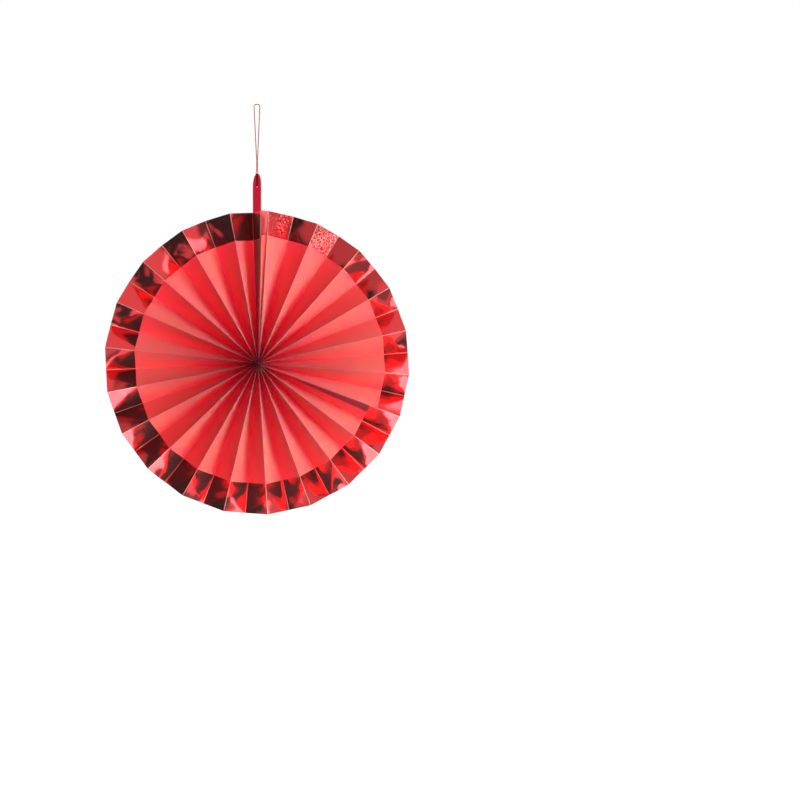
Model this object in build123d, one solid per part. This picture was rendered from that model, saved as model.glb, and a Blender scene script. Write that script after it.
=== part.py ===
from build123d import *
import os
from math import cos, hypot, pi, radians, sin, sqrt, tan

# Paper fan rosette: two pleated sheets joined into a full round, hung by a card tab and a thread loop.
# The front faces -Y and +Z is up. The origin is the place where the thread's loop rests on a hook.
# Sizes are in millimetres, angles in degrees clockwise from straight up as seen from the front.

# Round of pleats
rim_radius = 150.5
paper_thickness = 0.16
hub_layer_gap = 0.05
shallowest_pleat = 9.0

# Front ridges: evenly opened, then spread a little at the sides, as the hung round settles
ridge_count = 21
first_ridge_angle = 4.0
last_ridge_angle = 349.4
side_spread_angle = 4.0
quarter_spread_angle = 1.0

# Seam at the top: the end panels lie together, and the short sheet goes on with one narrow, shallow pleat
seam_ridge_angle = 1.5
seam_valley_angle = 3.5
last_valley_angle = 357.9
seam_pleat_depth = 1.2

# Joint of the two sheets: the short sheet's glue flap lies behind the long sheet's first panel
joint_ridge_number = 6
flap_width = 10.0
glue_line = 0.05

# Adhesive strip in the seam
tape_thickness = 0.12
tape_clearance = 0.12
tape_width = 10.0
tape_from_hub = 40.0
tape_below_tab = 16.0

# Hanging tab
tab_width = 24.0
tab_thickness = 0.8
tab_clearance = 0.15
tab_foot_depth = 26.0
tab_rise = 37.5
tab_hole_diameter = 3.0
tab_hole_drop = 13.3

# Threads
thread_diameter = 0.8
thread_clearance = 0.05
loop_rise = 68.0
loop_radius = 3.0
twist_rise = 24.0
strand_gap = 0.10
tie_diameter = 0.8
tie_hole_diameter = 1.6
tie_from_hub_edge = 3.5

# Measures that follow from the sizes above
fold_count = 2 * ridge_count + 2
joint_fold = 2 + 2 * joint_ridge_number
layer_count = fold_count + 2
hub_radius = layer_count * (paper_thickness + hub_layer_gap) / (2 * pi)
tape_inner = hub_radius + tape_from_hub
tab_inner = rim_radius - tab_foot_depth
tape_outer = tab_inner - tape_below_tab
inner_steps = 4
middle_steps = 6
border_steps = 2
rim_steps = 5
tie_sides = 8
across = Vector(1, 0, 0)
back = Vector(0, 1, 0)
up = Vector(0, 0, 1)


# Stations are the distances from the axis at which the folded sheets are worked out
def even_steps(start, end, count):
    return [start + (end - start) * k / count for k in range(count)]


def station_list():
    growth = tape_inner / hub_radius
    rows = [hub_radius * growth ** (k / inner_steps) for k in range(inner_steps)]
    rows += even_steps(tape_inner, tape_outer, middle_steps)
    rows += even_steps(tape_outer, tab_inner, border_steps)
    rows += even_steps(tab_inner, rim_radius, rim_steps)
    return rows + [rim_radius]


stations = station_list()
flap_first_station = inner_steps


# Rim angles of all the folds, from the seam's ridge round to the last valley
def ridge_angle(k):
    share = k / (ridge_count - 1)
    even = first_ridge_angle + (last_ridge_angle - first_ridge_angle) * share
    at_sides = side_spread_angle * sin(2 * pi * share)
    at_quarters = quarter_spread_angle * sin(4 * pi * share)
    return even + at_sides + at_quarters


ridges = [ridge_angle(k) for k in range(ridge_count)]
valleys = [(a + b) / 2 for a, b in zip(ridges, ridges[1:])] + [last_valley_angle]
rim_angles = [seam_ridge_angle, seam_valley_angle]
for ridge, valley in zip(ridges, valleys):
    rim_angles += [ridge, valley]


def on_circle(radius, angle):
    return Vector(radius * sin(radians(angle)), 0, radius * cos(radians(angle)))


def hub_layer(n):
    # Layers are counted at the hub, with one spare place at the joint and one at the seam
    return n + 1 if n <= joint_fold else n + 2


def plan(layer, angle, r):
    # A fold runs straight from its layer's place at the hub to its angle at the rim
    inner = on_circle(hub_radius, layer * 360 / layer_count)
    outer = on_circle(rim_radius, angle)
    return inner + (outer - inner) * ((r - hub_radius) / (rim_radius - hub_radius))


def fold_plan(n, r):
    n = n % fold_count
    return plan(hub_layer(n), rim_angles[n], r)


def mean_chord(n, r):
    here = fold_plan(n, r)
    before = (here - fold_plan(n - 1, r)).length
    after = (fold_plan(n + 1, r) - here).length
    return (before + after) / 2


# Every panel has the same width, so a pleat that opens wider is shallower
widest_chord = max(mean_chord(n, rim_radius) for n in range(fold_count))
panel_width = hypot(widest_chord, shallowest_pleat)


def pleat_depth(width, chord):
    # Between the middles of the paper on a ridge and in a valley
    return sqrt(width**2 - chord**2) - paper_thickness * width / (chord + paper_thickness)


def half_depth(n, r):
    return pleat_depth(panel_width, mean_chord(n, r)) / 2


# The narrow pleat beside the seam has a valley of its own, just behind the ridges on its two sides
seam_valley = 1
seam_pleat_width = hypot(mean_chord(seam_valley, rim_radius), seam_pleat_depth)


def seam_valley_point(r):
    ridge_level = (half_depth(seam_valley - 1, r) + half_depth(seam_valley + 1, r)) / 2
    depth = pleat_depth(seam_pleat_width, mean_chord(seam_valley, r))
    return fold_plan(seam_valley, r) + back * (depth - ridge_level)


def fold_point(n, r):
    # Ridges, with even numbers, stand forward and valleys stand back
    n = n % fold_count
    if n == seam_valley:
        return seam_valley_point(r)
    side = -1 if n % 2 == 0 else 1
    return fold_plan(n, r) + back * (side * half_depth(n, r))


def seam_pitch(r):
    # Distance between the middles of the two end panels, wider where the tab lies between them
    at_hub = paper_thickness + hub_layer_gap
    at_tape = paper_thickness + tape_thickness + 2 * tape_clearance
    at_tab = paper_thickness + tab_thickness + 2 * tab_clearance
    if r <= tape_inner:
        return at_hub + (at_tape - at_hub) * (r - hub_radius) / (tape_inner - hub_radius)
    if r <= tape_outer:
        return at_tape
    if r <= tab_inner:
        return at_tape + (at_tab - at_tape) * (r - tape_outer) / (tab_inner - tape_outer)
    return at_tab


# Folded sheets as solids
def panel_normal(along, across_panel):
    normal = across_panel.cross(along).normalized()
    return normal if normal.Y > 0 else -normal


def mitre_offset(grid, i, j, sides):
    # Step from the paper's middle to its back face at a fold, shared by the panels that meet there
    along = grid[i][min(j + 1, len(grid[i]) - 1)] - grid[i][max(j - 1, 0)]
    along = Vector(along.X, 0, along.Z)
    normals = [panel_normal(along, grid[i + side][j] - grid[i][j]) for side in sides]
    if len(normals) == 1:
        return normals[0]
    return (normals[0] + normals[1]) * (1 / (1 + normals[0].dot(normals[1])))


def folded_sheet(grid, thickness, missing=()):
    """Closed solid of a folded sheet: grid holds one row of points for each fold or cut edge, on the
    middle of the paper, with one point for each station; missing lists the cells that are cut away."""
    rows = len(grid)
    columns = len(grid[0])
    cells = [(i, j) for i in range(rows - 1) for j in range(columns - 1) if (i, j) not in missing]
    present = set(cells)
    front = {}
    rear = {}
    for i in range(rows):
        for j in range(columns):
            sides = [
                side
                for side, panel in ((-1, i - 1), (1, i))
                if (panel, j) in present or (panel, j - 1) in present
            ]
            if sides:
                step = mitre_offset(grid, i, j, sides) * (thickness / 2)
                front[i, j] = grid[i][j] - step
                rear[i, j] = grid[i][j] + step
    faces = []

    def add_quad(a, b, c, d):
        faces.append(Face(Wire.make_polygon([a, b, c])))
        faces.append(Face(Wire.make_polygon([a, c, d])))

    for i, j in cells:
        corners = [(i, j), (i + 1, j), (i + 1, j + 1), (i, j + 1)]
        add_quad(*[front[corner] for corner in corners])
        add_quad(*[rear[corner] for corner in corners])
        neighbours = [(i, j - 1), (i + 1, j), (i, j + 1), (i - 1, j)]
        for k, neighbour in enumerate(neighbours):
            if neighbour not in present:
                start = corners[k]
                end = corners[(k + 1) % 4]
                add_quad(front[start], front[end], rear[end], rear[start])
    return Solid(Shell(faces))


def between(a, b, share):
    return a + (b - a) * share


# End panels at the seam: the long sheet's lies on the left, the short sheet's on the right
def seam_left(r):
    return fold_point(-1, r), fold_point(0, r) - across * seam_pitch(r)


def seam_right(r):
    return fold_point(-1, r) + across * seam_pitch(r), fold_point(0, r)


def seam_middle(r):
    return [between(left, right, 0.5) for left, right in zip(seam_left(r), seam_right(r))]


# Joint: the long sheet's first edge lies on the ridge and the short sheet's ridge just behind it
def long_joint_edge(r):
    here = plan(hub_layer(joint_fold) + 1, rim_angles[joint_fold], r)
    return here - back * half_depth(joint_fold, r)


def long_grid():
    first = [long_joint_edge(r) for r in stations]
    folds = [[fold_point(n, r) for r in stations] for n in range(joint_fold + 1, fold_count)]
    last = [seam_left(r)[1] for r in stations]
    return [first] + folds + [last]


def short_grid(long_rows):
    first = [seam_right(r)[0] for r in stations]
    folds = [[fold_point(n, r) for r in stations] for n in range(joint_fold)]
    ridge = [fold_point(joint_fold, r) for r in stations]
    flap = list(ridge)
    layer_pitch = paper_thickness + glue_line
    for j in range(flap_first_station, len(stations)):
        edge = long_rows[0][j]
        panel = long_rows[1][j] - edge
        corner = [folds[-1], long_rows[0], long_rows[1]]
        ridge[j] = edge + mitre_offset(corner, 1, j, (-1, 1)) * layer_pitch
        flap[j] = ridge[j] + panel.normalized() * flap_width
    return [first] + folds + [ridge, flap]


def tie_ring(radius, diameter):
    """Ring about the hub's axis that runs straight from layer to layer, with an eight-sided section."""
    sections = []
    for layer in range(layer_count):
        outward = on_circle(1, layer * 360 / layer_count)
        turns = [2 * pi * side / tie_sides for side in range(tie_sides)]
        ray = [outward * cos(turn) + back * sin(turn) for turn in turns]
        sections.append([outward * radius + step * (diameter / 2) for step in ray])
    faces = []
    for near, far in zip(sections, sections[1:] + sections[:1]):
        for side in range(tie_sides):
            after = (side + 1) % tie_sides
            faces.append(Face(Wire.make_polygon([near[side], near[after], far[after], far[side]])))
    return Solid(Shell(faces))


def with_tie_holes(sheet):
    return sheet - tie_ring(tie_ring_radius, tie_hole_diameter)


tie_ring_radius = hub_radius + tie_from_hub_edge
long_rows = long_grid()
short_rows = short_grid(long_rows)
flap_row = len(short_rows) - 2
no_flap = [(flap_row, j) for j in range(flap_first_station)]
pleated_sheet_long = with_tie_holes(folded_sheet(long_rows, paper_thickness))
pleated_sheet_short = with_tie_holes(folded_sheet(short_rows, paper_thickness, no_flap))


# What lies in the seam follows the twist of the end panels
def seam_rows(start, end):
    pairs = [seam_middle(r) for r in stations if start <= r <= end]
    return [[pair[k] for pair in pairs] for k in range(2)]


# Adhesive strip between the end panels
tape_strip = folded_sheet(seam_rows(tape_inner, tape_outer), tape_thickness)
seam_tape = tape_strip & Box(2 * rim_radius, tape_width, 2 * rim_radius)

# Centre tie, pulled against the hub side of its holes
tie_slack = (tie_hole_diameter - tie_diameter) / 2 - thread_clearance
centre_tie = tie_ring(tie_ring_radius - tie_slack, tie_diameter)


# Hanging tab: a card strip with a round end, whose foot follows the seam and whose top stands upright
def tab_plane():
    valley_side, ridge_side = seam_middle(rim_radius)
    middle = between(valley_side, ridge_side, 0.5)
    width_way = ridge_side - valley_side
    width_way = Vector(width_way.X, width_way.Y, 0).normalized()
    rim_point = Vector(middle.X, middle.Y, rim_radius)
    return Plane(origin=rim_point, x_dir=width_way, z_dir=width_way.cross(up))


def tab_rows():
    # The blank stands higher than the tab and is then cut to its outline
    blank_rise = up * (tab_rise + tab_width)
    return [row + [row[-1] + blank_rise] for row in seam_rows(tab_inner, rim_radius)]


tab_place = tab_plane()
tab_blank = folded_sheet(tab_rows(), tab_thickness)
tab_straight = tab_foot_depth + tab_rise - tab_width / 2
tab_outline = Pos(0, -tab_foot_depth + tab_straight / 2) * Rectangle(tab_width, tab_straight)
tab_outline += Pos(0, tab_rise - tab_width / 2) * Circle(tab_width / 2)
tab_outline -= Pos(0, tab_rise - tab_hole_drop) * Circle(tab_hole_diameter / 2)
hang_tab = tab_blank & extrude(tab_place * tab_outline, tab_width / 2, both=True)

# Hanging thread: from the tab's hole up one face, round the hook's place and down to the other face.
# Its strands clear the tab's tip and then close up to the top of the twist.
thread_radius = thread_diameter / 2
tip_offset = tab_thickness / 2 + thread_radius + thread_clearance
strand_offset = thread_radius + strand_gap / 2
hole_reach = tab_hole_drop - tab_hole_diameter / 2
face_offset = tip_offset + (tip_offset - strand_offset) * hole_reach / twist_rise
hole_turn = face_offset - 2 * thread_clearance
turn_rise = hole_turn - sqrt(hole_turn**2 - (tab_thickness / 2) ** 2)
hole_top = tab_rise - hole_reach - thread_radius - thread_clearance - turn_rise
hole_edge = tab_place.origin + up * hole_top
hang_point = tab_place.origin + up * (tab_rise + loop_rise)
face_way = tab_place.z_dir
face_step = face_way * face_offset
strand_step = face_way * strand_offset
end_step = face_way * thread_clearance
twist_top = tab_place.origin + up * (tab_rise + twist_rise)
loop_top = hang_point + up * thread_radius
thread_route = [
    hole_edge + end_step,
    hole_edge + face_step,
    twist_top + strand_step,
    loop_top - across * loop_radius,
    loop_top + across * loop_radius,
    twist_top - strand_step,
    hole_edge - face_step,
    hole_edge - end_step,
]


def turn_radius(before, here, after):
    # As large as the two runs allow
    shorter = min((here - before).length, (after - here).length)
    half_turn = radians((here - before).get_angle(after - here)) / 2
    return 0.45 * shorter / tan(half_turn)


# The thread turns close round the edge of the tab's hole, and elsewhere as widely as its runs allow
free_turns = [turn_radius(*thread_route[k : k + 3]) for k in range(1, len(thread_route) - 3)]
thread_radii = [hole_turn] + free_turns + [hole_turn]
thread_path = FilletPolyline(*thread_route, radius=thread_radii)
thread_start = Plane(origin=thread_path @ 0, z_dir=thread_path % 0)
hanging_thread = sweep(thread_start * Circle(thread_radius), path=thread_path)
print("thread radii", [round(radius, 2) for radius in thread_radii])
print("thread length", round(thread_path.length, 1))
print("thread route", [tuple(round(x, 2) for x in point - hang_point) for point in thread_route])
print("panel width", round(panel_width, 2), "hub radius", round(hub_radius, 2))
print("hub", [round(x, 2) for x in -hang_point])

nodes = {
    "pleated_sheet_long": pleated_sheet_long,
    "pleated_sheet_short": pleated_sheet_short,
    "seam_tape": seam_tape,
    "centre_tie": centre_tie,
    "hang_tab": hang_tab,
    "hanging_thread": hanging_thread,
}
os.makedirs("parts", exist_ok=True)
for name, solid in nodes.items():
    export_step(Pos(-hang_point) * solid, f"parts/{name}.step")
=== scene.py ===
import random
from math import ceil, cos, hypot, pi, radians, sin, sqrt, tau

import bmesh
import bpy
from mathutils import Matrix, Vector


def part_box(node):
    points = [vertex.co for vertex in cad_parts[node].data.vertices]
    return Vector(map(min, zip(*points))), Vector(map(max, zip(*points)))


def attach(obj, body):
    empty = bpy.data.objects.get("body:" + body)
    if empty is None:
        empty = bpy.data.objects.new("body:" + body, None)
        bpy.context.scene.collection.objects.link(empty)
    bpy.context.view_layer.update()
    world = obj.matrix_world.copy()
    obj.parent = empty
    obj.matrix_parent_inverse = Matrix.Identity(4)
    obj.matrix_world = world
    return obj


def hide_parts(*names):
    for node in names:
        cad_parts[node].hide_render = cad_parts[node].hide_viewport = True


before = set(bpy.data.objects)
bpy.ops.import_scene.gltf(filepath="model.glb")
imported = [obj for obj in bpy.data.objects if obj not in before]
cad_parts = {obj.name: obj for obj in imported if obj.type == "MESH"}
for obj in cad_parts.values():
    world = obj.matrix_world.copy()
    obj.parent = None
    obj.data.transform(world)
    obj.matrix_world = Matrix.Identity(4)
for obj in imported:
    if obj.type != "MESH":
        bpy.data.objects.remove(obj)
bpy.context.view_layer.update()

# Paper fan rosette: two pleated sheets with a foil border, a foil card tab and a twisted thread.
# Metres, in the frame of the solids: the front faces -Y, +Z is up. Angles run clockwise from straight up.
tie_low, tie_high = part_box("centre_tie")
HUB = (tie_low + tie_high) / 2
ACROSS = Vector((1, 0, 0))
BACK = Vector((0, 1, 0))
UP = Vector((0, 0, 1))

# Pleats, as the solids have them. The narrow pleat beside the seam is pressed flatter than its solid.
RIM_RADIUS = 0.1505
PAPER = 0.00016
LAYER_GAP = 0.00005
SHALLOWEST_PLEAT = 0.009
RIDGE_COUNT = 21
FIRST_RIDGE = 4.0
LAST_RIDGE = 349.4
SIDE_SPREAD = 4.0
QUARTER_SPREAD = 1.0
SEAM_RIDGE = 1.5
SEAM_VALLEY = 3.5
SEAM_PLEAT_DEPTH = 0.0005
LAST_VALLEY = 357.9
JOINT_RIDGE = 6
JOINT_CLOSED_SHARE = 0.7
FLAP_WIDTH = 0.010
GLUE_LINE = 0.00005
FOLD_COUNT = 2 * RIDGE_COUNT + 2
JOINT_FOLD = 2 + 2 * JOINT_RIDGE
LAYER_COUNT = FOLD_COUNT + 2
HUB_RADIUS = LAYER_COUNT * (PAPER + LAYER_GAP) / tau

# Seam, tape and tab
TAPE_THICKNESS = 0.00012
TAPE_CLEARANCE = 0.00012
TAPE_FROM_HUB = 0.040
TAPE_TO_TAB = 0.016
TAB_WIDTH = 0.024
TAB_THICKNESS = 0.0008
TAB_CLEARANCE = 0.00015
TAB_FOOT = 0.026
TAB_RISE = 0.0375
TAB_HOLE_DIAMETER = 0.003
TAB_HOLE_DROP = 0.0133
TAB_INNER = RIM_RADIUS - TAB_FOOT
TAPE_INNER = HUB_RADIUS + TAPE_FROM_HUB
TAPE_OUTER = TAB_INNER - TAPE_TO_TAB
PITCH_AT_HUB = PAPER + LAYER_GAP
PITCH_AT_TAPE = PAPER + TAPE_THICKNESS + 2 * TAPE_CLEARANCE
PITCH_AT_TAB = PAPER + TAB_THICKNESS + 2 * TAB_CLEARANCE

# Foil border, measured from the outer edge
SHORT_FOIL = 0.024
LONG_FOIL_AT_JOINT = 0.0315
LONG_FOIL_AT_SEAM = 0.0275

# Panel numbers: even at front ridges, and far apart on the two sheets so that a finish can tell them apart
LONG_NUMBER = 0
SHORT_NUMBER = 101
CRUMPLED_PANELS = (104, 106)
CRACKED_PANEL = 106
NARROW_PANEL = 103

# Mesh of a panel
ACROSS_STEPS = 10
HUB_ROWS = 12
MATTE_ROWS = 16
FOIL_ROWS = 16
FLAP_STEPS = 4
FOLD_CROWDING = 0.6
HUB_DRAW = 0.9
FOLD_SHARPNESS = radians(22)

# Softness of the paper: panels bow and curl, the lower pleats more so, the foil ripples, and valleys are
# eased beside the foil. Bows start at one share of the rim's radius, and curls and ripples at another.
BOW_LEAST = -0.0003
BOW_MOST = 0.0006
CURL = 0.0004
BOW_SHARE = 0.3
CURL_SHARE = 0.75
LOWER_LOOSENESS = 1.0
LOOSE_FROM = -0.2
LOOSE_FULL = 0.5
RIPPLE = 0.00012
RIPPLE_LENGTH = 0.019
EASE_REACH = 0.007
EASE_FADE = 4 * EASE_REACH
EASE_SLOPE = 0.35
EASE_LEAST = 0.4

random.seed(7)


# Folds
def ridge_angle(k):
    share = k / (RIDGE_COUNT - 1)
    even = FIRST_RIDGE + (LAST_RIDGE - FIRST_RIDGE) * share
    return even + SIDE_SPREAD * sin(tau * share) + QUARTER_SPREAD * sin(2 * tau * share)


def fold_angles():
    ridges = [ridge_angle(k) for k in range(RIDGE_COUNT)]
    valleys = [(a + b) / 2 for a, b in zip(ridges, ridges[1:])] + [LAST_VALLEY]
    angles = [SEAM_RIDGE, SEAM_VALLEY]
    for ridge, valley in zip(ridges, valleys):
        angles += [ridge, valley]
    return angles


RIM_ANGLES = fold_angles()


def on_circle(radius, angle):
    return Vector((radius * sin(radians(angle)), 0, radius * cos(radians(angle))))


def hub_layer(n):
    return n + 1 if n <= JOINT_FOLD else n + 2


def plan(layer, angle, r):
    inner = on_circle(HUB_RADIUS, layer * 360 / LAYER_COUNT)
    outer = on_circle(RIM_RADIUS, angle)
    return inner.lerp(outer, (r - HUB_RADIUS) / (RIM_RADIUS - HUB_RADIUS))


def fold_plan(n, r):
    n = n % FOLD_COUNT
    return plan(hub_layer(n), RIM_ANGLES[n], r)


def mean_chord(n, r):
    here = fold_plan(n, r)
    return ((here - fold_plan(n - 1, r)).length + (fold_plan(n + 1, r) - here).length) / 2


WIDEST_CHORD = max(mean_chord(n, RIM_RADIUS) for n in range(FOLD_COUNT))
PANEL_WIDTH = hypot(WIDEST_CHORD, SHALLOWEST_PLEAT)


def half_depth(n, r):
    return (sqrt(PANEL_WIDTH**2 - mean_chord(n, r) ** 2) - PAPER) / 2


# The narrow pleat beside the seam has a shallow valley of its own
SEAM_FOLD = 1
SEAM_PLEAT_WIDTH = hypot(mean_chord(SEAM_FOLD, RIM_RADIUS), SEAM_PLEAT_DEPTH)


def seam_valley_point(r):
    ridge_level = (half_depth(SEAM_FOLD - 1, r) + half_depth(SEAM_FOLD + 1, r)) / 2
    depth = sqrt(SEAM_PLEAT_WIDTH**2 - mean_chord(SEAM_FOLD, r) ** 2)
    return fold_plan(SEAM_FOLD, r) + BACK * (depth - ridge_level)


def fold_point(n, r):
    n = n % FOLD_COUNT
    if n == SEAM_FOLD:
        return seam_valley_point(r)
    side = -1 if n % 2 == 0 else 1
    return fold_plan(n, r) + BACK * (side * half_depth(n, r))


def ramp(value, start, end):
    return min(1, max(0, (value - start) / (end - start)))


def seam_pitch(r):
    pitch = PITCH_AT_HUB + (PITCH_AT_TAPE - PITCH_AT_HUB) * ramp(r, HUB_RADIUS, TAPE_INNER)
    return pitch + (PITCH_AT_TAB - PITCH_AT_TAPE) * ramp(r, TAPE_OUTER, TAB_INNER)


def seam_left(r):
    return fold_point(-1, r), fold_point(0, r) - ACROSS * seam_pitch(r)


def seam_right(r):
    return fold_point(-1, r) + ACROSS * seam_pitch(r), fold_point(0, r)


def joint_edge(r):
    here = plan(hub_layer(JOINT_FOLD) + 1, RIM_ANGLES[JOINT_FOLD], r)
    return here - BACK * half_depth(JOINT_FOLD, r)


def panel_normal(along, across_panel):
    normal = across_panel.cross(along).normalized()
    return normal if normal.y > 0 else -normal


def joint_behind(r):
    """Ridge of the short sheet and far edge of its glue flap, both just behind the long sheet."""
    edge = joint_edge(r)
    along = on_circle(1, RIM_ANGLES[JOINT_FOLD])
    before = panel_normal(along, fold_point(JOINT_FOLD - 1, r) - edge)
    panel = fold_point(JOINT_FOLD + 1, r) - edge
    after = panel_normal(along, panel)
    mitre = (before + after) / (1 + before.dot(after))
    ridge = edge + mitre * (PAPER + GLUE_LINE)
    ridge = fold_point(JOINT_FOLD, r).lerp(ridge, ramp(r, JOINT_CLOSED_SHARE * TAPE_INNER, TAPE_INNER))
    return ridge, ridge + panel.normalized() * FLAP_WIDTH


# Rows of a sheet: functions that give a fold's or cut edge's place at a distance from the axis
def fold_row(n):
    return lambda r: fold_point(n, r)


LONG_ROWS = [joint_edge]
LONG_ROWS += [fold_row(n) for n in range(JOINT_FOLD + 1, FOLD_COUNT)]
LONG_ROWS += [lambda r: seam_left(r)[1]]
SHORT_ROWS = [lambda r: seam_right(r)[0]]
SHORT_ROWS += [fold_row(n) for n in range(JOINT_FOLD)]
SHORT_ROWS += [lambda r: joint_behind(r)[0]]


def station(row, foil_width):
    """Distance from the axis of a mesh row: close together at the hub, and one row on the foil's edge."""
    foil_edge = RIM_RADIUS - foil_width
    if row <= HUB_ROWS:
        return HUB_RADIUS * (TAPE_INNER / HUB_RADIUS) ** (row / HUB_ROWS)
    if row <= HUB_ROWS + MATTE_ROWS:
        return TAPE_INNER + (foil_edge - TAPE_INNER) * (row - HUB_ROWS) / MATTE_ROWS
    return foil_edge + foil_width * (row - HUB_ROWS - MATTE_ROWS) / FOIL_ROWS


ROW_COUNT = HUB_ROWS + MATTE_ROWS + FOIL_ROWS
FOIL_ROW = HUB_ROWS + MATTE_ROWS


# Mesh helpers
def only(obj):
    bpy.ops.object.select_all(action="DESELECT")
    obj.select_set(True)
    bpy.context.view_layer.objects.active = obj


def apply_modifier(obj, kind, **settings):
    only(obj)
    modifier = obj.modifiers.new(kind.title(), kind)
    for name, value in settings.items():
        setattr(modifier, name, value)
    bpy.ops.object.modifier_apply(modifier=modifier.name)


def new_grid(name, columns, rows):
    bpy.ops.object.select_all(action="DESELECT")
    bpy.ops.mesh.primitive_grid_add(x_subdivisions=columns, y_subdivisions=rows, size=1)
    obj = bpy.context.object
    obj.name = name
    obj.data.name = name
    return obj


def shape_grid(obj, columns, rows, place):
    """Moves each point of a flat grid to place(column, row), which gives its spot and its flat measure."""
    mesh = obj.data
    cells = [(round((v.co.x + 0.5) * columns), round((v.co.y + 0.5) * rows)) for v in mesh.vertices]
    spots = [place(column, row) for column, row in cells]
    flat = mesh.uv_layers.active.data
    for loop in mesh.loops:
        flat[loop.index].uv = spots[loop.vertex_index][1]
    for vertex, (spot, _) in zip(mesh.vertices, spots):
        vertex.co = spot
    return cells


def gathered(spot, r):
    """The tie draws the inner ends together, which closes the hub."""
    draw = HUB_DRAW * (HUB_RADIUS / r) ** 2
    return Vector((spot.x * (1 - draw), spot.y, spot.z * (1 - draw)))


def across_share(step):
    """Share of a panel's width at a mesh step: the steps are shorter beside the folds."""
    even = step / ACROSS_STEPS
    return even - FOLD_CROWDING * sin(tau * even) / tau


def valley_ease(share, valley_first, width, inward, foil_width):
    """How far the paper bends forward beside a valley, most at the inner edge of the foil."""
    from_valley = (share if valley_first else 1 - share) * width
    on_foil = ramp(inward, 0, foil_width)
    past_foil = ramp(inward, foil_width + EASE_FADE, foil_width)
    reach = EASE_REACH * min(on_foil, past_foil)
    if from_valley >= reach:
        return 0
    return EASE_SLOPE / 2 * reach * (1 - from_valley / reach) ** 2


def pleated_sheet(name, rows, first_number, foil_width_at, flap=None):
    """Folds a flat grid into a pleated sheet. The flat measure counts panel widths along the sheet, with even
    numbers on the front ridges, and metres in from the outer edge."""
    panels = len(rows) - 1
    columns = panels * ACROSS_STEPS + (FLAP_STEPS if flap else 0)
    bows = [random.uniform(BOW_LEAST, BOW_MOST) for _ in range(panels)]
    curls = [random.uniform(-CURL, CURL) for _ in range(panels)]
    ripples = [random.uniform(0, tau) for _ in range(panels)]
    easings = [random.uniform(EASE_LEAST, 1.0) for _ in range(panels + 1)]

    def place(column, row):
        panel = min(column // ACROSS_STEPS, panels - 1)
        share = across_share(column - panel * ACROSS_STEPS)
        foil_width = foil_width_at(min(1, column / (panels * ACROSS_STEPS)))
        r = station(row, foil_width)
        measure = RIM_RADIUS - r
        if column > panels * ACROSS_STEPS:
            part = (column - panels * ACROSS_STEPS) / FLAP_STEPS
            ridge, edge = flap(r)
            spot = ridge.lerp(edge, part)
            return HUB + spot, (first_number + panels + part * FLAP_WIDTH / PANEL_WIDTH, measure)
        here = rows[panel](r)
        after = rows[panel + 1](r)
        spot = here.lerp(after, share)
        normal = panel_normal(spot.normalized(), after - here)
        openness = ramp(r, BOW_SHARE * RIM_RADIUS, RIM_RADIUS)
        rim_share = ramp(r, CURL_SHARE * RIM_RADIUS, RIM_RADIUS)
        slack = min(1, (after - here).length / PANEL_WIDTH) ** 2
        loose = slack * (1 + LOWER_LOOSENESS * ramp(-spot.z / spot.length, LOOSE_FROM, LOOSE_FULL))
        lift = bows[panel] * sin(pi * share) * openness + curls[panel] * sin(tau * share) * rim_share**2
        wave = sin(tau * r / RIPPLE_LENGTH + ripples[panel] + 2 * share)
        ripple = RIPPLE * wave * sin(pi * share) * rim_share
        number = first_number + panel
        valley_first = number % 2 == 1
        ease = valley_ease(share, valley_first, (after - here).length, measure, foil_width)
        ease *= easings[panel if valley_first else panel + 1]
        spot = spot - normal * (lift + ripple) * loose - BACK * ease
        return HUB + gathered(spot, r), (number + share, measure)

    obj = new_grid(name, columns, ROW_COUNT)
    cells = shape_grid(obj, columns, ROW_COUNT, place)
    mesh = obj.data
    edit = bmesh.new()
    edit.from_mesh(mesh)
    edit.verts.ensure_lookup_table()
    spare = []
    for face in edit.faces:
        corners = [cells[v.index] for v in face.verts]
        low_row = min(row for _, row in corners)
        face.material_index = 1 if low_row >= FOIL_ROW else 0
        if max(column for column, _ in corners) > panels * ACROSS_STEPS and low_row < HUB_ROWS:
            spare.append(face)
    bmesh.ops.delete(edit, geom=spare, context="FACES")
    edit.faces.ensure_lookup_table()
    if edit.faces[len(edit.faces) // 2].normal.y > 0:
        bmesh.ops.reverse_faces(edit, faces=edit.faces[:])
    edit.to_mesh(mesh)
    edit.free()
    return obj


def finish_sheet(obj, materials):
    """Gives a folded sheet its thickness: front matte and foil, a plain back and plain cut edges."""
    for material in materials:
        obj.data.materials.append(material)
    apply_modifier(obj, "SOLIDIFY", thickness=PAPER, offset=0, material_offset=2, material_offset_rim=2)
    only(obj)
    bpy.ops.object.shade_smooth_by_angle(angle=FOLD_SHARPNESS)


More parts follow.
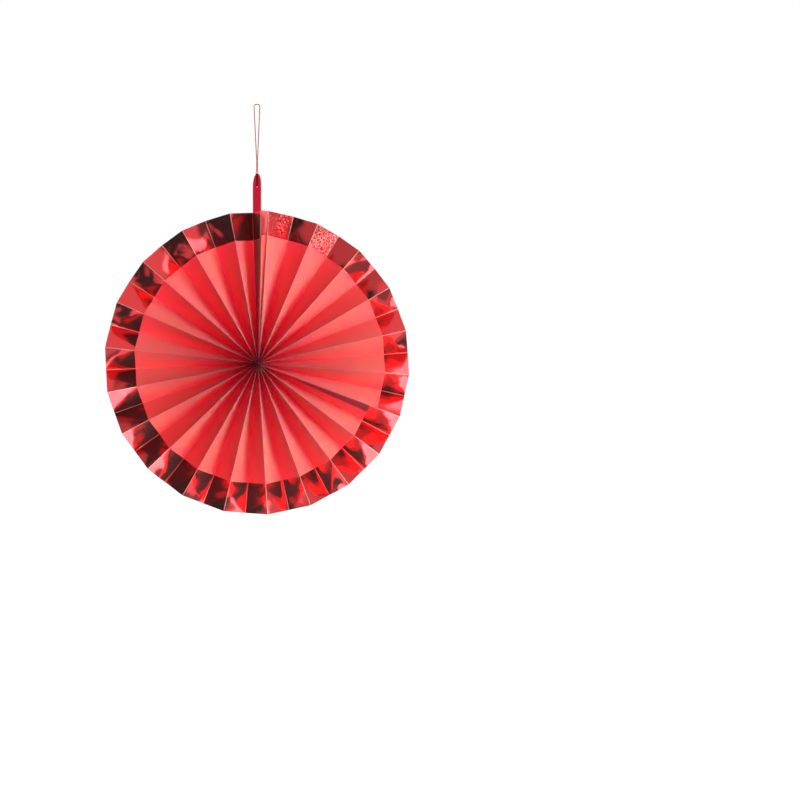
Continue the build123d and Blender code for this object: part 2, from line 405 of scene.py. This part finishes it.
# Node helpers
class Nodes:
    """Short calls to add and join the nodes of one tree."""

    def __init__(self, tree):
        self.nodes = tree.nodes
        self.links = tree.links

    def add(self, kind, inputs=None, **settings):
        node = self.nodes.new(kind)
        for name, value in settings.items():
            setattr(node, name, value)
        for socket, value in (inputs or {}).items():
            self.feed(node.inputs[socket], value)
        return node

    def feed(self, socket, value):
        if isinstance(value, bpy.types.NodeSocket):
            self.links.new(value, socket)
        else:
            socket.default_value = value

    def math(self, operation, first, second=0.0, clamp=False):
        node = self.add("ShaderNodeMath", {0: first, 1: second}, operation=operation, use_clamp=clamp)
        return node.outputs[0]

    def times(self, first, second):
        return self.math("MULTIPLY", first, second)

    def largest(self, first, second):
        return self.math("MAXIMUM", first, second)

    def step(self, value, start, end, top=1.0, shape="SMOOTHSTEP"):
        """0 up to start, top from end on, and a slope between."""
        node = self.add("ShaderNodeMapRange", interpolation_type=shape)
        for socket, number in zip(node.inputs, (value, start, end, 0.0, top)):
            self.feed(socket, number)
        return node.outputs[0]

    def mix(self, factor, first, second):
        """A colour between two colours."""
        inputs = {"Factor": factor, 6: first, 7: second}
        return self.add("ShaderNodeMix", inputs, data_type="RGBA").outputs[2]

    def between(self, factor, first, second):
        """A number between two numbers."""
        return self.add("ShaderNodeMix", {"Factor": factor, 2: first, 3: second}).outputs[0]

    def noise(self, vector, scale, detail=2.0, roughness=0.5):
        inputs = {"Vector": vector, "Scale": scale, "Detail": detail, "Roughness": roughness}
        return self.add("ShaderNodeTexNoise", inputs).outputs[0]


class Finish(Nodes):
    """A material under construction."""

    def __init__(self, name):
        self.material = bpy.data.materials.new(name)
        self.material.use_nodes = True
        super().__init__(self.material.node_tree)
        self.shader = self.nodes["Principled BSDF"]
        self.output = self.nodes["Material Output"]

    def bump(self, height, distance, strength=1.0, over=None):
        inputs = {"Height": height, "Distance": distance, "Strength": strength}
        if over is not None:
            inputs["Normal"] = over
        return self.add("ShaderNodeBump", inputs).outputs[0]

    def object_place(self):
        return self.add("ShaderNodeTexCoord").outputs["Object"]

    def flat_measure(self):
        """Panel widths along the sheet, and metres in from its outer edge."""
        uv = self.add("ShaderNodeTexCoord").outputs["UV"]
        parts = self.add("ShaderNodeSeparateXYZ", {0: uv})
        return parts.outputs[0], parts.outputs[1]

    def fold_distance(self, along):
        """Metres to the nearest fold."""
        return self.times(self.math("PINGPONG", along, 0.5), PANEL_WIDTH)

    def ridge_distance(self, along):
        """Metres to the nearest front ridge."""
        halves = self.times(along, 0.5)
        return self.times(self.math("PINGPONG", halves, 0.5), 2 * PANEL_WIDTH)

    def on_panel(self, along, panel):
        """1 on the panel with this number, 0 elsewhere."""
        middle = panel + 0.5
        mark = self.add("ShaderNodeMath", {0: along, 1: middle, 2: 0.5}, operation="COMPARE")
        return mark.outputs[0]

    def set(self, **inputs):
        for name, value in inputs.items():
            self.feed(self.shader.inputs[name.replace("_", " ")], value)
        return self.material


def rgb(red, green, blue):
    return (red, green, blue, 1.0)


# Colours
PAPER_RED = rgb(0.73, 0.20, 0.165)
# The back's red is darker than the front's as painted shade, which offsets the strong light from behind
PAPER_BACK_SHADED = rgb(0.58, 0.125, 0.11)
# Deeper red used for painted shade towards the hub and for the random mottling
PAPER_SHADE_AND_MOTTLE = rgb(0.98, 0.08, 0.14)
PAPER_WORN = rgb(0.88, 0.28, 0.25)
# Deeper red for painted shade along the joint, over the glue flap
PAPER_JOINT_SHADE = rgb(0.99, 0.04, 0.09)
FOIL_RED = rgb(0.85, 0.052, 0.058)
FOIL_EDGE = rgb(0.9, 0.12, 0.12)
FOIL_WORN = rgb(0.93, 0.42, 0.36)
TAB_RED = rgb(0.50, 0.004, 0.03)
TAB_EDGE = rgb(0.85, 0.48, 0.50)
CARD_PALE = rgb(0.80, 0.42, 0.38)
CARD_DARK = rgb(0.74, 0.30, 0.27)
DARK_PLY = rgb(0.46, 0.035, 0.03), rgb(0.34, 0.025, 0.02)
PALE_PLY = rgb(0.90, 0.13, 0.07), rgb(0.74, 0.09, 0.05)
TIE_PLY = rgb(0.50, 0.03, 0.04), rgb(0.36, 0.02, 0.03)
TAPE_CLEAR = rgb(0.86, 0.84, 0.78)
TAPE_DULL = rgb(0.74, 0.70, 0.62)

# Paper: where and how much painted shade deepens its red towards the hub, and how it wears along the ridges
HUB_SHADE_FROM = 0.045
HUB_SHADE_FULL = 0.140
HUB_SHADE_SHARE = 0.5
MOTTLE_SHARE = 0.10
MOTTLE_RELIEF = 0.6
RIDGE_WEAR = 0.0003
RIDGE_RAGGEDNESS = 0.0004
RIDGE_PALENESS = 0.7
# Painted shade along the joint, over the glue flap: its width as a share of a panel, and how far beyond and
# within that width it fades
JOINT_SHADE_SHARE = FLAP_WIDTH / PANEL_WIDTH
JOINT_SHADE_OVER = 0.04
JOINT_SHADE_UNDER = 0.02

# Foil: how it crinkles, cracks and wears along the folds
CRINKLE_SHARE = 0.05
FOLD_WEAR = 0.00045
FOLD_BARE = 0.00010
FOLD_RAGGEDNESS = 0.00035
WEAR_SHARE = 0.8
CRACK_SHARE = 0.45
CRACK_EDGE = 0.14
CRACK_BARE = 0.04
WORN_DULLNESS = 0.8
WORN_ROUGHNESS = 0.35
FOIL_ROUGHNESS = 0.10


def matte_paper(name, red, worn_ridges):
    """Dyed paper: fine mottling and tooth, a deeper red towards the hub that is painted shade, paler along
    worn ridges. Over the glue flap, next to the joint, painted shade deepens the red."""
    finish = Finish(name)
    place = finish.object_place()
    along, inward = finish.flat_measure()
    mottle = finish.noise(place, scale=260.0, detail=4.0, roughness=0.6)
    fibre = finish.noise(place, scale=2600.0, detail=3.0, roughness=0.6)
    # Painted shade: the red deepens towards the hub, where the pleats are deep and close together
    depth = finish.step(inward, HUB_SHADE_FROM, HUB_SHADE_FULL)
    colour = finish.mix(finish.times(depth, HUB_SHADE_SHARE), red, PAPER_SHADE_AND_MOTTLE)
    colour = finish.mix(finish.times(mottle, MOTTLE_SHARE), colour, PAPER_SHADE_AND_MOTTLE)
    if worn_ridges:
        ragged = finish.times(mottle, RIDGE_RAGGEDNESS)
        wear = finish.step(finish.math("SUBTRACT", finish.ridge_distance(along), ragged), RIDGE_WEAR, 0.0)
        colour = finish.mix(finish.times(wear, RIDGE_PALENESS), colour, PAPER_WORN)
    # Painted shade: a deeper red over the glue flap, along the joint
    joint_shade = finish.step(along, JOINT_SHADE_SHARE + JOINT_SHADE_OVER, JOINT_SHADE_SHARE - JOINT_SHADE_UNDER)
    colour = finish.mix(joint_shade, colour, PAPER_JOINT_SHADE)
    tooth = finish.math("ADD", fibre, finish.times(mottle, MOTTLE_RELIEF))
    normal = finish.bump(tooth, distance=0.00003, strength=0.5)
    finish.set(Subsurface_Weight=1.0, Subsurface_Radius=(1.0, 0.05, 0.35), Subsurface_Scale=0.0012)
    finish.set(Roughness=0.6, Specular_IOR_Level=0.3)
    return finish.set(Base_Color=colour, Normal=normal)


def foil_wear(finish, along, crinkle, place):
    """How bare the foil is: along the folds, all over the narrow panel, and in the cracks of one panel."""
    ragged = finish.times(crinkle, FOLD_RAGGEDNESS)
    from_fold = finish.math("SUBTRACT", finish.fold_distance(along), ragged)
    worn = finish.step(from_fold, FOLD_WEAR, FOLD_BARE)
    worn = finish.largest(worn, finish.on_panel(along, NARROW_PANEL))
    inputs = {"Vector": place, "Scale": 260.0}
    cells = finish.add("ShaderNodeTexVoronoi", inputs, feature="DISTANCE_TO_EDGE")
    cracks = finish.step(cells.outputs[0], CRACK_EDGE, CRACK_BARE)
    cracked = finish.times(cracks, finish.on_panel(along, CRACKED_PANEL))
    return finish.largest(finish.times(worn, WEAR_SHARE), finish.times(cracked, CRACK_SHARE))


def mirror_foil():
    """Hot-stamped red foil: a mirror with soft waves, fine crinkles on some panels, worn pale at folds."""
    finish = Finish("mirror_foil")
    place = finish.object_place()
    along, _ = finish.flat_measure()
    waves = finish.noise(place, scale=45.0, detail=1.0)
    crinkle = finish.noise(place, scale=420.0, detail=3.0, roughness=0.65)
    cells = finish.add("ShaderNodeTexVoronoi", {"Vector": place, "Scale": 340.0}, distance="MANHATTAN")
    crumpled_here = finish.math("ADD", *[finish.on_panel(along, panel) for panel in CRUMPLED_PANELS])
    crumpled = finish.times(cells.outputs[0], crumpled_here)
    height = finish.math("ADD", finish.times(crinkle, CRINKLE_SHARE), crumpled)
    smooth = finish.bump(waves, distance=0.0012, strength=0.55)
    normal = finish.bump(height, distance=0.0003, over=smooth)
    worn = foil_wear(finish, along, crinkle, place)
    colour = finish.mix(worn, FOIL_RED, FOIL_WORN)
    metal = finish.math("SUBTRACT", 1.0, finish.times(worn, WORN_DULLNESS))
    rough = finish.math("ADD", finish.times(worn, WORN_ROUGHNESS), FOIL_ROUGHNESS)
    finish.set(Coat_Weight=0.7, Coat_Roughness=0.8, Coat_IOR=1.5, Specular_Tint=FOIL_EDGE)
    return finish.set(Base_Color=colour, Metallic=metal, Roughness=rough, Normal=normal)


def tab_foil():
    """Smooth foil on the card, with the slight waves of the board under it."""
    finish = Finish("tab_foil")
    waves = finish.noise(finish.object_place(), scale=120.0)
    normal = finish.bump(waves, distance=0.0004, strength=0.25)
    finish.set(Metallic=1.0, Roughness=0.16, Specular_Tint=TAB_EDGE)
    return finish.set(Base_Color=TAB_RED, Normal=normal)


def card_core():
    """The pale cut edge of the card."""
    finish = Finish("card_core")
    layers = finish.noise(finish.object_place(), scale=1800.0, detail=3.0)
    colour = finish.mix(layers, CARD_PALE, CARD_DARK)
    normal = finish.bump(layers, distance=0.00004, strength=0.4)
    return finish.set(Base_Color=colour, Roughness=0.7, Normal=normal)


def ply(name, colours):
    """Dull fibres of a spun thread, in two tones."""
    finish = Finish(name)
    fibre = finish.noise(finish.object_place(), scale=5200.0, detail=3.0)
    tone = finish.mix(fibre, *colours)
    finish.set(Roughness=0.85, Specular_IOR_Level=0.05)
    return finish.set(Base_Color=tone, Normal=finish.bump(fibre, distance=0.00003, strength=0.6))


def tape_film():
    """Clear adhesive film, a little uneven."""
    finish = Finish("tape_film")
    ripple = finish.noise(finish.object_place(), scale=700.0)
    colour = finish.mix(ripple, TAPE_CLEAR, TAPE_DULL)
    normal = finish.bump(ripple, distance=0.00004, strength=0.3)
    return finish.set(Base_Color=colour, Roughness=0.25, Normal=normal)


# Sheets
front_paper = matte_paper("matte_paper", PAPER_RED, worn_ridges=True)
back_paper = matte_paper("back_paper", PAPER_BACK_SHADED, worn_ridges=False)
foil = mirror_foil()


def long_foil(share):
    return LONG_FOIL_AT_JOINT + (LONG_FOIL_AT_SEAM - LONG_FOIL_AT_JOINT) * share


def short_foil(share):
    return SHORT_FOIL


long_sheet = pleated_sheet("pleated_long", LONG_ROWS, LONG_NUMBER, long_foil)
short_sheet = pleated_sheet("pleated_short", SHORT_ROWS, SHORT_NUMBER, short_foil, joint_behind)
for sheet, node in ((long_sheet, "pleated_sheet_long"), (short_sheet, "pleated_sheet_short")):
    finish_sheet(sheet, [front_paper, foil, back_paper, back_paper])
    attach(sheet, "root")
    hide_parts(node)


# Hanging tab
TAB_COLUMNS = 12
TAB_ROWS = 48
TAB_STRAIGHT_SHARE = 0.6
TAB_ROUND_START = TAB_RISE - TAB_WIDTH / 2
TAB_SHARPNESS = radians(25)
TAB_WELD = 0.00001
HOLE_SIDES = 40
PUNCH_LENGTH = 0.01


def seam_middle(r):
    left = seam_left(r)
    right = seam_right(r)
    return left[0].lerp(right[0], 0.5), left[1].lerp(right[1], 0.5)


def tab_point(height, offset):
    """Place on the tab's middle surface: height above the rim, offset across from its centre line."""
    valley_side, ridge_side = seam_middle(RIM_RADIUS + min(0, height))
    middle = valley_side.lerp(ridge_side, 0.5)
    width_way = ridge_side - valley_side
    width_way.z = 0
    spot = middle + width_way.normalized() * offset
    spot.z = RIM_RADIUS + height
    return HUB + spot


def tab_half_width(height):
    over = max(0, height - TAB_ROUND_START)
    return sqrt(max(0, (TAB_WIDTH / 2) ** 2 - over**2))


def tab_place(column, row):
    turn = row / TAB_ROWS
    if turn <= TAB_STRAIGHT_SHARE:
        height = -TAB_FOOT + (TAB_FOOT + TAB_ROUND_START) * turn / TAB_STRAIGHT_SHARE
    else:
        quarter = (turn - TAB_STRAIGHT_SHARE) / (1 - TAB_STRAIGHT_SHARE) * pi / 2
        height = TAB_ROUND_START + TAB_WIDTH / 2 * sin(quarter)
    offset = tab_half_width(height) * (2 * column / TAB_COLUMNS - 1)
    return tab_point(height, offset), (offset, height)


def hole_punch():
    """A rod across the tab, at its hole."""
    hole_height = TAB_RISE - TAB_HOLE_DROP
    centre = tab_point(hole_height, 0)
    width_way = tab_point(hole_height, TAB_WIDTH / 2) - centre
    bpy.ops.object.select_all(action="DESELECT")
    bpy.ops.mesh.primitive_cylinder_add(
        vertices=HOLE_SIDES,
        radius=TAB_HOLE_DIAMETER / 2,
        depth=PUNCH_LENGTH,
        location=centre,
    )
    punch = bpy.context.object
    punch.rotation_mode = "QUATERNION"
    punch.rotation_quaternion = UP.rotation_difference(width_way.normalized().cross(UP))
    bpy.context.view_layer.update()
    return punch


def hang_tab():
    tab = new_grid("foil_tab", TAB_COLUMNS, TAB_ROWS)
    shape_grid(tab, TAB_COLUMNS, TAB_ROWS, tab_place)
    tab.data.materials.append(tab_foil())
    tab.data.materials.append(card_core())
    apply_modifier(tab, "WELD", merge_threshold=TAB_WELD)
    apply_modifier(tab, "SOLIDIFY", thickness=TAB_THICKNESS, offset=0, material_offset_rim=1)
    punch = hole_punch()
    apply_modifier(tab, "BOOLEAN", object=punch, operation="DIFFERENCE", solver="EXACT")
    bpy.data.objects.remove(punch)
    only(tab)
    bpy.ops.object.shade_smooth_by_angle(angle=TAB_SHARPNESS)
    return tab


tab = hang_tab()
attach(tab, "root")
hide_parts("hang_tab")

# Hanging thread: the route of the solid, with a twist between the tab's tip and where the strands part.
# Loose fibres make it a little fuller than its solid.
THREAD_DIAMETER = 0.0010
TWIST_TURNS = 2
TWIST_STEPS = 16
TWIST_RADIUS = 0.0005
TWIST_BOTTOM = -0.0640
TWIST_TOP = -0.0545
PLY_TURN = 0.0027
PLY_RADIUS = 0.00034
PLY_SIDES = 8
STEPS_PER_TURN = 10
LINE_STEPS = 12
HOLE_END = Vector((-0.00005, -0.00002, -0.08034))
HOLE_FACE = Vector((-0.00105, -0.00037, -0.08034))
ABOVE_HOLE = Vector((-0.00100, -0.00035, -0.0755))
ABOVE_TIP = Vector((-0.00094, -0.00033, -0.0674))
LOOP_SIDE = Vector((-0.00264, 0.0, -0.0056))
LOOP_CORNER = Vector((-0.0030, 0.0, 0.0004))


def twist_points():
    face_way = HOLE_FACE.copy()
    face_way.z = 0
    face_way.normalize()
    side_way = face_way.cross(UP)
    points = []
    for k in range(TWIST_STEPS + 1):
        turn = tau * TWIST_TURNS * k / TWIST_STEPS
        height = TWIST_BOTTOM + (TWIST_TOP - TWIST_BOTTOM) * k / TWIST_STEPS
        points.append((face_way * cos(turn) + side_way * sin(turn)) * TWIST_RADIUS + UP * height)
    return points


def other_side(point):
    return Vector((-point.x, -point.y, point.z))


def thread_points():
    rise = [HOLE_END, HOLE_FACE, ABOVE_HOLE, ABOVE_TIP] + twist_points() + [LOOP_SIDE, LOOP_CORNER]
    return rise + [other_side(point) for point in reversed(rise)]


def smooth_line(points):
    """Points along the smooth line that has these as its control points."""
    curve = bpy.data.curves.new("thread_line", "CURVE")
    curve.dimensions = "3D"
    spline = curve.splines.new("NURBS")
    spline.points.add(len(points) - 1)
    for knot, point in zip(spline.points, points):
        knot.co = (*point, 1)
    spline.order_u = 3
    spline.use_endpoint_u = True
    spline.resolution_u = LINE_STEPS
    obj = bpy.data.objects.new("thread_line", curve)
    mesh = bpy.data.meshes.new_from_object(obj)
    line = [v.co.copy() for v in mesh.vertices]
    bpy.data.objects.remove(obj)
    bpy.data.curves.remove(curve)
    bpy.data.meshes.remove(mesh)
    return line


def even_line(line, step):
    """The same line with points an even step apart."""
    gone = [0.0]
    for a, b in zip(line, line[1:]):
        gone.append(gone[-1] + (b - a).length)
    count = ceil(gone[-1] / step)
    points = []
    k = 0
    for n in range(count + 1):
        want = gone[-1] * n / count
        while k < len(line) - 2 and gone[k + 1] < want:
            k += 1
        points.append(line[k].lerp(line[k + 1], (want - gone[k]) / (gone[k + 1] - gone[k])))
    return points


def ply_tube(edit, line, first_turn, material_index):
    """One ply of the thread: a thin tube wound about the thread's line."""
    angles = [tau * n / PLY_SIDES for n in range(PLY_SIDES)]
    side = ACROSS
    rings = []
    for k, point in enumerate(line):
        along = (line[min(k + 1, len(line) - 1)] - line[max(k - 1, 0)]).normalized()
        side = (side - along * side.dot(along)).normalized()
        other = along.cross(side)
        turn = first_turn + tau * k / STEPS_PER_TURN
        centre = point + (side * cos(turn) + other * sin(turn)) * (THREAD_DIAMETER / 2 - PLY_RADIUS)
        rings.append([edit.verts.new(centre + (side * cos(a) + other * sin(a)) * PLY_RADIUS) for a in angles])
    faces = []
    for near, far in zip(rings, rings[1:]):
        for n in range(PLY_SIDES):
            after = (n + 1) % PLY_SIDES
            faces.append(edit.faces.new((near[n], near[after], far[after], far[n])))
    faces.append(edit.faces.new(list(reversed(rings[0]))))
    faces.append(edit.faces.new(rings[-1]))
    for face in faces:
        face.material_index = material_index
        face.smooth = True


def hanging_thread():
    line = even_line(smooth_line(thread_points()), PLY_TURN / STEPS_PER_TURN)
    mesh = bpy.data.meshes.new("twisted_thread")
    edit = bmesh.new()
    ply_tube(edit, line, 0, 0)
    ply_tube(edit, line, pi, 1)
    bmesh.ops.recalc_face_normals(edit, faces=edit.faces[:])
    edit.to_mesh(mesh)
    edit.free()
    mesh.materials.append(ply("dark_ply", DARK_PLY))
    mesh.materials.append(ply("pale_ply", PALE_PLY))
    obj = bpy.data.objects.new("twisted_thread", mesh)
    bpy.context.scene.collection.objects.link(obj)
    return obj, line


thread, thread_line = hanging_thread()
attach(thread, "root")
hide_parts("hanging_thread")


# Pieces that keep their solids' shape
def give_finish(node, material):
    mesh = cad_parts[node].data
    mesh.materials.clear()
    mesh.materials.append(material)


give_finish("centre_tie", ply("tie_thread", TIE_PLY))
give_finish("seam_tape", tape_film())


# Floor, far below the hanging fan
FLOOR_Z = -0.80
FLOOR_FRONT = -0.12
FLOOR_SIZE = 30
FLOOR_GREY = rgb(0.85, 0.85, 0.85)
FLOOR_GLOW = 1.14
FLOOR_GLOW_SHARE = 0.85
WHITE = rgb(1, 1, 1)


def pale_floor():
    bpy.ops.object.select_all(action="DESELECT")
    middle = (0, FLOOR_FRONT + FLOOR_SIZE / 2, FLOOR_Z)
    bpy.ops.mesh.primitive_plane_add(size=FLOOR_SIZE, location=middle)
    floor = bpy.context.object
    floor.name = "floor"
    finish = Finish("pale_floor")
    rays = finish.add("ShaderNodeLightPath").outputs
    seen = finish.math("ADD", rays["Is Camera Ray"], rays["Is Glossy Ray"], clamp=True)
    seen = finish.math("ADD", seen, rays["Is Transmission Ray"], clamp=True)
    finish.set(Base_Color=FLOOR_GREY, Roughness=0.9)
    glow = finish.add("ShaderNodeEmission", {"Color": WHITE, "Strength": FLOOR_GLOW})
    shares = {0: finish.times(seen, FLOOR_GLOW_SHARE), 1: finish.shader.outputs[0], 2: glow.outputs[0]}
    blend = finish.add("ShaderNodeMixShader", shares)
    finish.links.new(blend.outputs[0], finish.output.inputs[0])
    floor.data.materials.append(finish.material)


# What the foil sees in front of it: a dim room with round panels of light. Each panel has its direction, as
# an angle from straight up and an angle off the axis, then its half width in degrees and its level of light.
DIM_ROOM = 0.035
PANELS_OF_LIGHT = [
    (15, 55, 38, 0.85),
    (320, 55, 24, 0.52),
    (85, 55, 25, 0.12),
    (130, 60, 25, 0.25),
    (35, 30, 9, 2.0),
    (88, 22, 8, 2.2),
]
PANEL_SOFTNESS = 6

# Patches of light low in the room, and how far down they start and are full
GLEAM_LEVEL = 0.7
GLEAM_SCALE = 2.6
GLEAM_FROM = 0.46
GLEAM_FULL = 0.58
LOW_FROM = -0.10
LOW_FULL = -0.30

# Where the white behind the fan starts and is full, and how much light comes from the front and from behind
BEHIND_FROM = -0.05
BEHIND_FULL = 0.25
FRONT_LEVEL = 0.06
BACK_LEVEL = 2.40


def light_panels(nodes, direction):
    """Level of light by direction, in the dim room with its panels."""
    level = DIM_ROOM
    for angle, off_axis, half_width, brightness in PANELS_OF_LIGHT:
        centre = on_circle(sin(radians(off_axis)), angle) - BACK * cos(radians(off_axis))
        towards = nodes.add("ShaderNodeVectorMath", {0: direction, 1: centre}, operation="DOT_PRODUCT")
        outer = cos(radians(half_width + PANEL_SOFTNESS))
        inner = cos(radians(half_width - PANEL_SOFTNESS))
        panel = nodes.step(towards.outputs["Value"], outer, inner, top=brightness)
        level = nodes.largest(panel, level)
    return level


def studio_world():
    """White behind the object, a dim room in front of it that only reflections see, and plain soft fill."""
    world = bpy.data.worlds.new("studio")
    world.use_nodes = True
    world.node_tree.nodes.clear()
    nodes = Nodes(world.node_tree)
    rays = nodes.add("ShaderNodeLightPath").outputs
    direction = nodes.add("ShaderNodeTexCoord").outputs["Generated"]
    parts = nodes.add("ShaderNodeSeparateXYZ", {0: direction}).outputs
    patches = nodes.noise(direction, scale=GLEAM_SCALE)
    gleam = nodes.step(patches, GLEAM_FROM, GLEAM_FULL, top=GLEAM_LEVEL)
    low_gleam = nodes.times(gleam, nodes.step(parts[2], LOW_FROM, LOW_FULL, shape="LINEAR"))
    seen = nodes.largest(light_panels(nodes, direction), low_gleam)
    behind = nodes.step(parts[1], BEHIND_FROM, BEHIND_FULL)
    room = nodes.between(behind, seen, 1.0)
    soft = nodes.between(behind, FRONT_LEVEL, BACK_LEVEL)
    fill = nodes.between(rays["Is Glossy Ray"], soft, room)
    white = nodes.largest(rays["Is Camera Ray"], rays["Is Transmission Ray"])
    level = nodes.between(white, fill, 1.0)
    background = nodes.add("ShaderNodeBackground", {"Color": WHITE, "Strength": level})
    nodes.add("ShaderNodeOutputWorld", {0: background.outputs[0]})
    bpy.context.scene.world = world


# Lamps that light the paper, and cards that only the foil reflects. Each has its name, its direction from the
# hub as x, y, z, then its distance, width and height in metres and its power in watts.
PAPER_LAMPS = [
    ("key", (0.84, -0.54, 0.06), 1.4, 0.8, 1.0, 23),
    ("front_fill", (0.1, -1.0, 0.1), 2.2, 1.6, 1.6, 3.5),
]
FOIL_CARDS = [
    ("side_card", (0.97, -0.22, 0.10), 1.4, 1.1, 1.5, 3.2),
    ("low_right_card", (0.60, -0.62, -0.50), 0.55, 0.16, 0.26, 0.6),
    ("low_card", (0.0, -0.22, -0.42), 0.474, 0.40, 0.40, 2.6),
    ("low_side_card", (1.3, -0.45, -0.45), 1.45, 0.50, 0.30, 1.9),
    ("top_right_card", (0.26, -0.15, 0.36), 0.47, 0.12, 0.20, 0.26),
    ("front_right_card", (0.33, -0.60, -0.05), 0.69, 0.38, 0.60, 0.5),
]


def softbox(name, towards, distance, width, height, power):
    """Area lamp that faces the hub, unseen by the camera."""
    data = bpy.data.lights.new(name, "AREA")
    data.shape = "RECTANGLE"
    data.size = width
    data.size_y = height
    data.energy = power
    lamp = bpy.data.objects.new(name, data)
    place = HUB + Vector(towards).normalized() * distance
    lamp.location = place
    lamp.rotation_euler = (HUB - place).to_track_quat("-Z", "Y").to_euler()
    lamp.visible_camera = False
    bpy.context.scene.collection.objects.link(lamp)
    return lamp


# Camera, in front of the hub
CAMERA_DISTANCE = 1.5
SENSOR_WIDTH = 36.0
PIXELS = 800
PIXELS_PER_METRE = 1000
HUB_PIXEL = (258.4, 363.1)


def photo_camera():
    """In front of the hub, turned so that the hub falls on its place in the picture."""
    data = bpy.data.cameras.new("camera")
    data.sensor_width = SENSOR_WIDTH
    data.lens = SENSOR_WIDTH * PIXELS_PER_METRE * CAMERA_DISTANCE / PIXELS
    camera = bpy.data.objects.new("camera", data)
    aim = HUB.copy()
    aim.x += (PIXELS / 2 - HUB_PIXEL[0]) / PIXELS_PER_METRE
    aim.z -= (PIXELS / 2 - HUB_PIXEL[1]) / PIXELS_PER_METRE
    camera.location = HUB - BACK * CAMERA_DISTANCE
    camera.rotation_euler = (aim - camera.location).to_track_quat("-Z", "Y").to_euler()
    bpy.context.scene.collection.objects.link(camera)
    bpy.context.scene.camera = camera


pale_floor()
studio_world()
for lamp_sizes in PAPER_LAMPS:
    softbox(*lamp_sizes).visible_glossy = False
for card_sizes in FOIL_CARDS:
    softbox(*card_sizes).visible_diffuse = False
photo_camera()
bpy.context.scene.view_settings.view_transform = "Standard"
